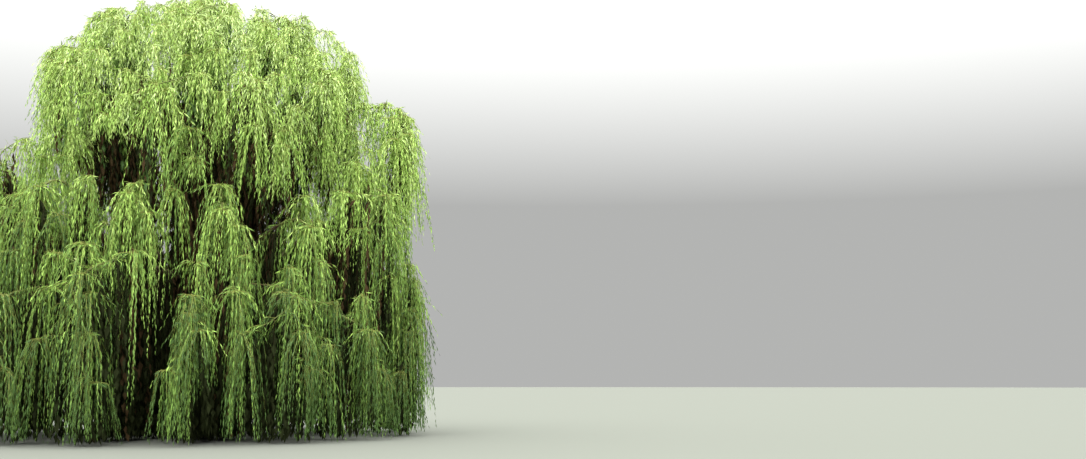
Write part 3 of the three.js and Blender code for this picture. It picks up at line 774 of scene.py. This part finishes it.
# Curves that leave their start, rise over an arch as wide as their swing, turn over and hang. A lean is how
# far they stand outwards for each metre of fall.
def hangingCurves(starts, flat, swing, rise, turnOver, fall, lean):
    swing, rise, turnOver, fall = swing[:, None], rise[:, None], turnOver[:, None], fall[:, None]
    lean = np.broadcast_to(lean, len(starts))[:, None]
    return np.stack(
        [
            starts,
            starts + flat * swing * hang["rising"] + up * rise,
            starts + flat * swing - up * (turnOver + fall * hang["slack"]),
            starts + flat * (swing * hang["atTip"] + fall * lean) - up * fall,
        ],
        axis=1,
    )


def pickStarts(laterals, owner, shares):
    starts = np.empty((len(owner), 3))
    for k, curve in enumerate(laterals):
        starts[owner == k] = curvePoints(curve, shares[owner == k])
    return starts


def levelDirections(angles):
    return np.stack([np.cos(angles), np.sin(angles), np.zeros(len(angles))], -1)


mounds = {
    "tassels": 7,
    "inTassel": 4,
    "tasselSpread": 0.055,
    "innermost": 0.02,  # the square of the least share of the mound's radius at which a tassel hangs
    "tasselStart": (0.8, 0.2),  # where tassels start on the lateral, and over how much of it
    "turnVaries": (0.3, 0.1),  # tassel by tassel and withe by withe, in radians
    "crestSprays": 10,
    "crestStart": (0.3, 0.7),
    "crestFall": (0.4, 0.9),
    "crestRise": 0.05,
    "radius": ((8, 0.74), (11, 0.6)),
    "radiusVaries": (0.75, 1.2),
    "lengths": ((2.5, 3.4), (4.5, 4.6), (6.5, 4.0), (9, 2.7), (11, 1.9), (14, 1.5)),  # longest, by height
    "lengthVaries": (0.75, 1.15),
    "shortest": ((3, 0.8), (7, 0.55)),  # the shortest ones' share of that, by crest height
    "lean": ((5, 0.02), (9, 0.06), (13, 0.13)),  # how far a withe leans outwards, by crest height
}
withe = {
    "radius": 0.005,
    "tipRadius": 0.001,
    "rise": 0.18,
    "riseVaries": 0.08,
    "turnOver": 0.36,
    "sway": 0.05,
    "least": 0.2,
    "upToTip": 0.4,  # those that would pass the ground end up to this far over the lowest tips
    "short": 1.8,
    "shares": (0, 0.22, 0.55, 1),
}


# Long withes in tassels over the rim of each mound, and short sprays on its crest
def growWithes(laterals, roll):
    long, short = mounds["tassels"] * mounds["inTassel"], mounds["crestSprays"]
    owner = np.repeat(np.arange(len(laterals)), long + short)
    total = len(owner)
    number = np.tile(np.arange(long + short), len(laterals))
    onCrest = number >= long
    inMound = np.where(onCrest, number - long, short + number % mounds["tassels"])
    tassel = owner * (mounds["tassels"] + short) + inMound
    kinds = tassel.max() + 1
    rim = np.sqrt(roll.uniform(mounds["innermost"], 1, kinds))[tassel]
    tasselTurn, witheTurn = mounds["turnVaries"]
    turn = (np.arange(kinds) * goldenTurn + roll.uniform(-tasselTurn, tasselTurn, kinds))[tassel]
    along = roll.uniform(0, 1, kinds)
    first, span = (np.where(onCrest, mounds["crestStart"][i], mounds["tasselStart"][i]) for i in (0, 1))
    starts = pickStarts(laterals, owner, first + span * along[tassel])
    starts = starts + roll.normal(0, mounds["tasselSpread"], (total, 3)) * (1, 1, 0.3) * ~onCrest[:, None]
    flat = levelDirections(turn + roll.normal(0, witheTurn, total))
    radii, lengths = (roll.uniform(*mounds[key], len(laterals)) for key in ("radiusVaries", "lengthVaries"))
    swing = valueAt(starts[:, 2], mounds["radius"]) * radii[owner] * rim
    longest = valueAt(starts[:, 2], mounds["lengths"]) * lengths[owner]
    shortest = valueAt(starts[:, 2], mounds["shortest"])
    hanging = longest * (shortest + (1 - shortest) * roll.uniform(0, 1, total))
    fall = np.where(onCrest, roll.uniform(*mounds["crestFall"], total), hanging)
    fall = np.minimum(fall, starts[:, 2] - lowestTip - withe["upToTip"] * roll.uniform(0, 1, total) ** 2)
    fall = clearShade(starts + flat * swing[:, None], fall, roll)
    rise = withe["rise"] * (1 - rim**2) + roll.uniform(0, withe["riseVaries"], total)
    rise = rise + onCrest * mounds["crestRise"]
    lean = valueAt(starts[:, 2], mounds["lean"])
    curves = hangingCurves(starts, flat, swing, rise, withe["turnOver"] * rim**2, fall, lean)
    curves[:, 3] += roll.normal(0, withe["sway"], (total, 3)) * (1, 1, 0)
    keep = fall > withe["least"]
    return curves[keep], onCrest[keep], owner[keep]


# Withes that would hang over a dark place end at its upper edge
def clearShade(tops, fall, roll):
    bearings = np.degrees(np.arctan2(tops[:, 0], -tops[:, 1]))
    reach = np.hypot(tops[:, 0], tops[:, 1])
    for bearing, height, halfWidth, halfHeight in (*shadeGaps, *slitPlaces):
        off = np.abs(np.radians(turnFrom(bearing, bearings))) * reach
        edge = height + halfHeight - roll.uniform(0, halfHeight, len(tops))
        isOver = (off < halfWidth) & (reach > slits["leastReach"]) & (tops[:, 2] > edge)
        fall = np.where(isOver, np.minimum(fall, tops[:, 2] - edge), fall)
    return fall


stemSpray = {
    "count": 84,
    "along": 0.65,  # of the stem from its end
    "gathered": 1.4,  # towards the end
    "rise": (0.06, 0.26),
    "swings": ((0.05, 0.3), (0.1, 0.55)),  # of short and of long ones
    "falls": ((0.15, 0.5), (0.25, 0.7)),  # in metres, and as shares of the longest withes
    "turnOver": 0.3,
    "lean": 0.03,
}


# Withes that hide the stem's own arch
def growStemSprays(mass, roll):
    count = stemSpray["count"]
    shares = 1 - stemSpray["along"] * roll.uniform(0, 1, count) ** stemSpray["gathered"]
    starts = curvePoints(mass["stem"]["curve"], shares)
    flat = levelDirections(roll.uniform(0, 2 * math.pi, count))
    isShort = np.arange(count) % 2 == 0
    swing = np.where(isShort, *(roll.uniform(*span, count) for span in stemSpray["swings"]))
    shortFall, longFall = stemSpray["falls"]
    fall = valueAt(starts[:, 2], mounds["lengths"]) * roll.uniform(*longFall, count)
    fall = np.where(isShort, roll.uniform(*shortFall, count), np.minimum(fall, starts[:, 2] - lowestTip))
    rise = roll.uniform(*stemSpray["rise"], count)
    return hangingCurves(starts, flat, swing, rise, swing * stemSpray["turnOver"], fall, stemSpray["lean"])


shadedSpray = {
    "perMound": 5,
    "perBough": {"crown": 220, "dome": 190, "shoulder": 190, "skirt": 150, "hem": 250},
    "onLateral": (0.05, 0.8),
    "fromCrest": 0.5,
    "lengths": (0.7, 1.35),  # shares of the longest withes
    "swing": (0.05, 0.7),
    "turnOver": (0.1, 0.5),  # in metres, and as a share of the swing
    "upToTip": 0.15,
    "shares": (0, 0.3, 1),
}
innerSeats = {
    "first": 0.05,
    "last": 0.6,
    "lastOfHem": 0.85,
    "onBough": 0.55,
    "boughShare": 0.6,
    "gathered": 1.5,  # towards the bough's tip
}


# Dense sprays in the shade, their leaves mostly painted dark as shade by innerTints: from the inner stretch
# of each lateral, and from the stem and its bough
def shadedSprays(mass, laterals, roll):
    owner = np.repeat(np.arange(len(laterals)), shadedSpray["perMound"])
    starts = pickStarts(laterals, owner, roll.uniform(*shadedSpray["onLateral"], len(owner)))
    toCrest = np.linalg.norm(laterals[owner, 3] - starts, axis=1)
    starts = starts[toCrest > shadedSpray["fromCrest"]]
    starts = np.concatenate([starts, innerStarts(mass, shadedSpray["perBough"][mass["tier"]], roll)])
    flat = levelDirections(roll.uniform(0, 2 * math.pi, len(starts)))
    flat = np.where(((flat * starts).sum(-1) > 0)[:, None], -flat, flat)
    fall = valueAt(starts[:, 2], mounds["lengths"]) * roll.uniform(*shadedSpray["lengths"], len(starts))
    upToTip = roll.uniform(0, shadedSpray["upToTip"], len(starts))
    fall = np.minimum(fall, starts[:, 2] - lowestTip - upToTip)
    swing = roll.uniform(*shadedSpray["swing"], len(starts))
    least, share = shadedSpray["turnOver"]
    return hangingCurves(starts, flat, swing, swing * 0, least + swing * share, fall, 0)


# Places along a mass's stem and the outer part of its bough
def innerStarts(mass, count, roll):
    last = innerSeats["lastOfHem" if mass["tier"] == "hem" else "last"]
    starts = curvePoints(mass["stem"]["curve"], roll.uniform(innerSeats["first"], last, count))
    onBough = roll.uniform(0, 1, count) < innerSeats["onBough"]
    shares = 1 - innerSeats["boughShare"] * roll.uniform(0, 1, onBough.sum()) ** innerSeats["gathered"]
    starts[onBough] = curvePoints(mass["bough"]["curve"], shares)
    return starts


leafSizes = {  # spacing along the twig, length, width, bare start of the twig
    "outer": (0.12, 0.195, 0.035, 0.03),
    "inner": (0.2, 0.37, 0.108, 0.08),
}
leafShape = {
    "widest": 0.4,
    "fold": 0.25,
    "onward": 0.8,  # how far it follows its twig
    "droop": 0.4,
    "alongVaries": (0.1, 0.9),
    "beforeTip": 0.005,
    "standVaries": (0.6, 1.3),
    "sizeVaries": (0.75, 1.2),
    "turnVaries": 0.5,
    "tilt": 0.8,
    "tipShrink": 0.4,
    "lowest": 0.02,
}
leafStand = ((5, 0.2), (9, 0.34), (12, 0.5))  # how far leaves stand off their twig, by height
innerWidening = ((1.5, 1.7), (4, 1))  # of the leaves in the shade near the ground, by height


# Two-faced folded leaves in a spiral down each twig, drooping, shorter towards its tip
def growLeaves(rows, size, roll):
    spacing, leafLength, leafWidth, bareStart = leafSizes[size]
    steps = np.linalg.norm(np.diff(rows, axis=1), axis=2)
    ends = np.cumsum(steps, axis=1)
    total = ends[:, -1]
    counts = np.maximum(((total - bareStart) / spacing).astype(int), 1)
    owner = np.repeat(np.arange(len(rows)), counts)
    number = np.arange(len(owner)) - np.repeat(np.cumsum(counts) - counts, counts)
    reach = bareStart + (number + roll.uniform(*leafShape["alongVaries"], len(owner))) * spacing
    reach = np.minimum(reach, total[owner] - leafShape["beforeTip"])
    stretch = (reach[:, None] > ends[owner]).sum(1)
    before = np.where(stretch > 0, ends[owner, stretch - 1], 0)
    part = ((reach - before) / steps[owner, stretch])[:, None]
    a, b = rows[owner, stretch], rows[owner, stretch + 1]
    roots = a + (b - a) * part
    runs = unit(b - a)
    first = unit(np.cross(runs, np.where(np.abs(runs[:, 2:]) > 0.8, (1.0, 0, 0), (0, 0, 1.0))))
    second = np.cross(runs, first)
    varies = leafShape["turnVaries"]
    turn = (number * goldenTurn + roll.uniform(-varies, varies, len(owner)) + owner)[:, None]
    sides = first * np.cos(turn) + second * np.sin(turn)
    stand = (valueAt(roots[:, 2], leafStand) * roll.uniform(*leafShape["standVaries"], len(owner)))[:, None]
    ways = unit(runs * leafShape["onward"] + sides * stand - up * leafShape["droop"])
    facing = unit(sides - ways * (sides * ways).sum(-1, keepdims=True))
    widths = np.cross(ways, facing)
    tilt = roll.uniform(-leafShape["tilt"], leafShape["tilt"], len(owner))[:, None]
    turned = widths * np.cos(tilt) + facing * np.sin(tilt)
    widths, facing = turned, facing * np.cos(tilt) - widths * np.sin(tilt)
    shrink = 1 - leafShape["tipShrink"] * (reach / total[owner]) ** 3
    scale = (roll.uniform(*leafShape["sizeVaries"], len(owner)) * shrink)[:, None]
    tips = roots + ways * leafLength * scale
    half = leafWidth / 2 * scale
    if size == "inner":
        half = half * valueAt(roots[:, 2], innerWidening)[:, None]
    waist = roots + (tips - roots) * leafShape["widest"] + facing * half * leafShape["fold"] * 2
    corners = np.stack([roots, waist - widths * half, tips, waist + widths * half], axis=1)
    corners[..., 2] = np.maximum(corners[..., 2], leafShape["lowest"])
    faces = np.array([(0, 1, 2), (0, 2, 3)])[None] + (np.arange(len(owner)) * 4)[:, None, None]
    return corners.reshape(-1, 3), faces.reshape(-1, 3), owner


# painted light: the spray's green steps brighter with height and on the crests, plus random tone by spray and
# mound
paintedLightLevel = {"low": 0.15, "rise": 4.67, "height": 14, "onCrest": 0.9, "varies": 0.5, "moundVaries": 0.35}


# Which green each spray has: painted light, brighter high up and a painted highlight on crests, painted shade
# deeper low down, and a little its mound's own tone
def paintedLightGreens(curves, onCrest, owner, roll):
    level = paintedLightLevel["low"] + paintedLightLevel["rise"] * curves[:, 0, 2] / paintedLightLevel["height"]
    level = level + paintedLightLevel["onCrest"] * onCrest + roll.normal(0, paintedLightLevel["varies"], len(curves))
    level = level + roll.normal(0, paintedLightLevel["moundVaries"], owner.max() + 1)[owner]
    return np.clip(np.rint(level), 1, 5).astype(int)


# painted shade: below the first height the inner leaves are near-black green, below the second near-black
# green or dry brown
innerTint = {"paintedShadeBelow": 6, "shadeOrDryBelow": 10.4, "varies": 0.8}


# Inside, the leaves are painted shade, a near-black green, low down; painted shade or dry brown in the dark
# middle; and green again in the dome
def innerTints(curves, roll):
    height = curves[:, 0, 2] + roll.normal(0, innerTint["varies"], len(curves))
    shadeOrDry, green = roll.choice((0, 6), len(curves)), roll.choice((1, 2), len(curves))
    return np.select([height < innerTint["paintedShadeBelow"], height < innerTint["shadeOrDryBelow"]], [0, shadeOrDry], green)


stemBark = {"sides": 10, "rings": 15, "greenFrom": 8}


# The stem's bark is old at first and green-brown further out
def stemTube(mass):
    stem, sides = mass["stem"], stemBark["sides"]
    shares = np.linspace(0, 1, stemBark["rings"])
    rows = curvePoints(stem["curve"], shares)[None]
    across = np.cross(outward(mass["bearing"]), up)[None]
    corners, faces = tubes(rows, stem["radiusAt"](shares), sides, across)
    return corners, faces, np.where(faces[:, 0] // sides >= stemBark["greenFrom"], 3, 0)


bareWithe = {
    "radius": 0.008,
    "tipRadius": 0.003,
    "count": 44,
    "falls": (0.4, 4.2),
    "fallVaries": (0.5, 1),
    "aboveGround": 0.3,
    "swing": (0.1, 0.7),
    "rise": 0.1,  # shares of the swing
    "turnOver": 0.3,
    "lean": 0.02,
    "shares": (0, 0.3, 1),
}


# Brown leafless withes in the shade, hanging from the stem and from the outer part of its bough
def bareWithes(mass, roll):
    count = bareWithe["count"]
    starts = innerStarts(mass, count, roll)
    flat = levelDirections(roll.uniform(0, 2 * math.pi, count))
    fall = np.clip(starts[:, 2] - bareWithe["aboveGround"], *bareWithe["falls"])
    fall = fall * roll.uniform(*bareWithe["fallVaries"], count)
    swing = roll.uniform(*bareWithe["swing"], count)
    rise, turnOver = swing * bareWithe["rise"], swing * bareWithe["turnOver"]
    return hangingCurves(starts, flat, swing, rise, turnOver, fall, bareWithe["lean"])


def growMass(mass, number, crests):
    roll = np.random.RandomState(seeds["masses"] + number)
    laterals = growLaterals(mass, crests)
    leafy, onCrest, owner = growWithes(laterals, roll)
    leafy = np.concatenate([leafy, growStemSprays(mass, roll)])
    onCrest = np.concatenate([onCrest, np.zeros(stemSpray["count"], bool)])
    owner = np.concatenate([owner, np.full(stemSpray["count"], len(laterals))])
    shaded = shadedSprays(mass, laterals, roll)
    bare = bareWithes(mass, roll)
    # painted light and shade: each spray's green by its height and whether it is on a crest
    greens = paintedLightGreens(leafy, onCrest, owner, roll)
    isShort = leafy[:, 0, 2] - leafy[:, 3, 2] < withe["short"]
    thin = (withe["radius"], withe["tipRadius"])
    kinds = (  # curves, shares, root and tip radius, sides, bark, leaves and their greens
        (laterals, lateral["shares"], (lateral["rootRadius"], lateral["tipRadius"]), 4, 3, "outer", 2),
        (leafy[~isShort], withe["shares"], thin, 3, 2, "outer", greens[~isShort]),
        (leafy[isShort], shadedSpray["shares"], thin, 3, 2, "outer", greens[isShort]),
        (shaded, shadedSpray["shares"], thin, 3, 1, "inner", innerTints(shaded, roll)),
        (bare, bareWithe["shares"], (bareWithe["radius"], bareWithe["tipRadius"]), 3, 1, None, 0),
    )
    twigs, sprays = [stemTube(mass)], []
    for curves, shares, ends, sides, bark, leafSize, colours in kinds:
        if len(curves) == 0:
            continue
        rows, radii = curvePoints(curves, shares), taper(*ends, 1)(shares)
        flat = (curves[:, 3] - curves[:, 0]) * (1, 1, 0)
        twigs.append((*tubes(rows, radii, sides, unit(np.cross(flat, up) + 1e-6)), bark))
        if leafSize:
            corners, faces, twig = growLeaves(rows, leafSize, roll)
            sprays.append((corners, faces, np.repeat(np.broadcast_to(colours, len(curves))[twig], 2)))
    twigPiece, twigCount = meshPiece(mass["name"] + "_twigs", twigs, twigMaterials, True)
    leafPiece, leafCount = meshPiece(mass["name"] + "_leaves", sprays, leafMaterials, False)
    for piece in (twigPiece, leafPiece):
        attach(piece, "root")
        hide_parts(mass["name"])
    return twigCount, leafCount, len(leafy), len(laterals)


slitPlaces = placeSlits(np.random.RandomState(seeds["slits"]))
allCrests = placeMounds(np.random.RandomState(seeds["mounds"]))
moundOwners = ownerOf(allCrests)
made = np.array([growMass(mass, i, allCrests[moundOwners == i]) for i, mass in enumerate(masses)])
twigTotal, leafTotal, witheTotal, moundTotal = made.sum(0)
print("foliage made:", witheTotal, "withes on", moundTotal, "mounds, at least", made[:, 3].min(), "in a mass")
print("it has", twigTotal, "twig faces and", leafTotal, "leaf faces, at most", made[:, 1].max(), "in a mass")

# Floor, light and camera
stage = {"floorSize": 900, "floorColour": "#74776f", "skyColour": "#f4f5f3"}
bpy.ops.object.select_all(action="DESELECT")
bpy.ops.mesh.primitive_circle_add(vertices=64, radius=stage["floorSize"] / 2, fill_type="NGON")
floor = bpy.context.object
floor.name = "floor"
floor.data.materials.append(plainMaterial("pale matt floor", stage["floorColour"], 0.95, 0.1))

light = {"sunStrength": 1.9, "sunAngle": 60, "sunTilt": (32, -14), "horizon": 0.5, "zenith": 5.1}
bpy.ops.object.light_add(type="SUN", location=(-10, -18, 30))
sun = bpy.context.object
sun.name = "soft overcast light"
sun.data.energy = light["sunStrength"]
sun.data.angle = math.radians(light["sunAngle"])
sun.rotation_euler = (*(math.radians(tilt) for tilt in light["sunTilt"]), 0)

world = bpy.data.worlds.new("pale sky")
world.use_nodes = True
background = world.node_tree.nodes["Background"]
background.inputs["Color"].default_value = linear(stage["skyColour"])
direction = addNode(world.node_tree, "ShaderNodeTexCoord")
axes = addNode(world.node_tree, "ShaderNodeSeparateXYZ", links={"Vector": direction.outputs["Generated"]})
brightness = addNode(
    world.node_tree,
    "ShaderNodeMapRange",
    inputs={"From Min": 0.15, "From Max": 1, "To Min": light["horizon"], "To Max": light["zenith"]},
    links={"Value": axes.outputs["Z"]},
)
world.node_tree.links.new(brightness.outputs["Result"], background.inputs["Strength"])
bpy.context.scene.world = world

camera = {"distance": 38, "height": 1.6, "yaw": 16.8, "pitch": 7.5, "lens": 38.7}
bpy.ops.object.camera_add(location=(0, -camera["distance"], camera["height"]))
eye = bpy.context.object
eye.name = "eye"
eye.data.sensor_width = 36
eye.data.lens = camera["lens"]
eye.data.clip_end = 2000
eye.rotation_euler = (math.radians(90 + camera["pitch"]), 0, -math.radians(camera["yaw"]))
bpy.context.scene.camera = eye
bpy.context.scene.view_settings.view_transform = "Standard"
print("stage set")
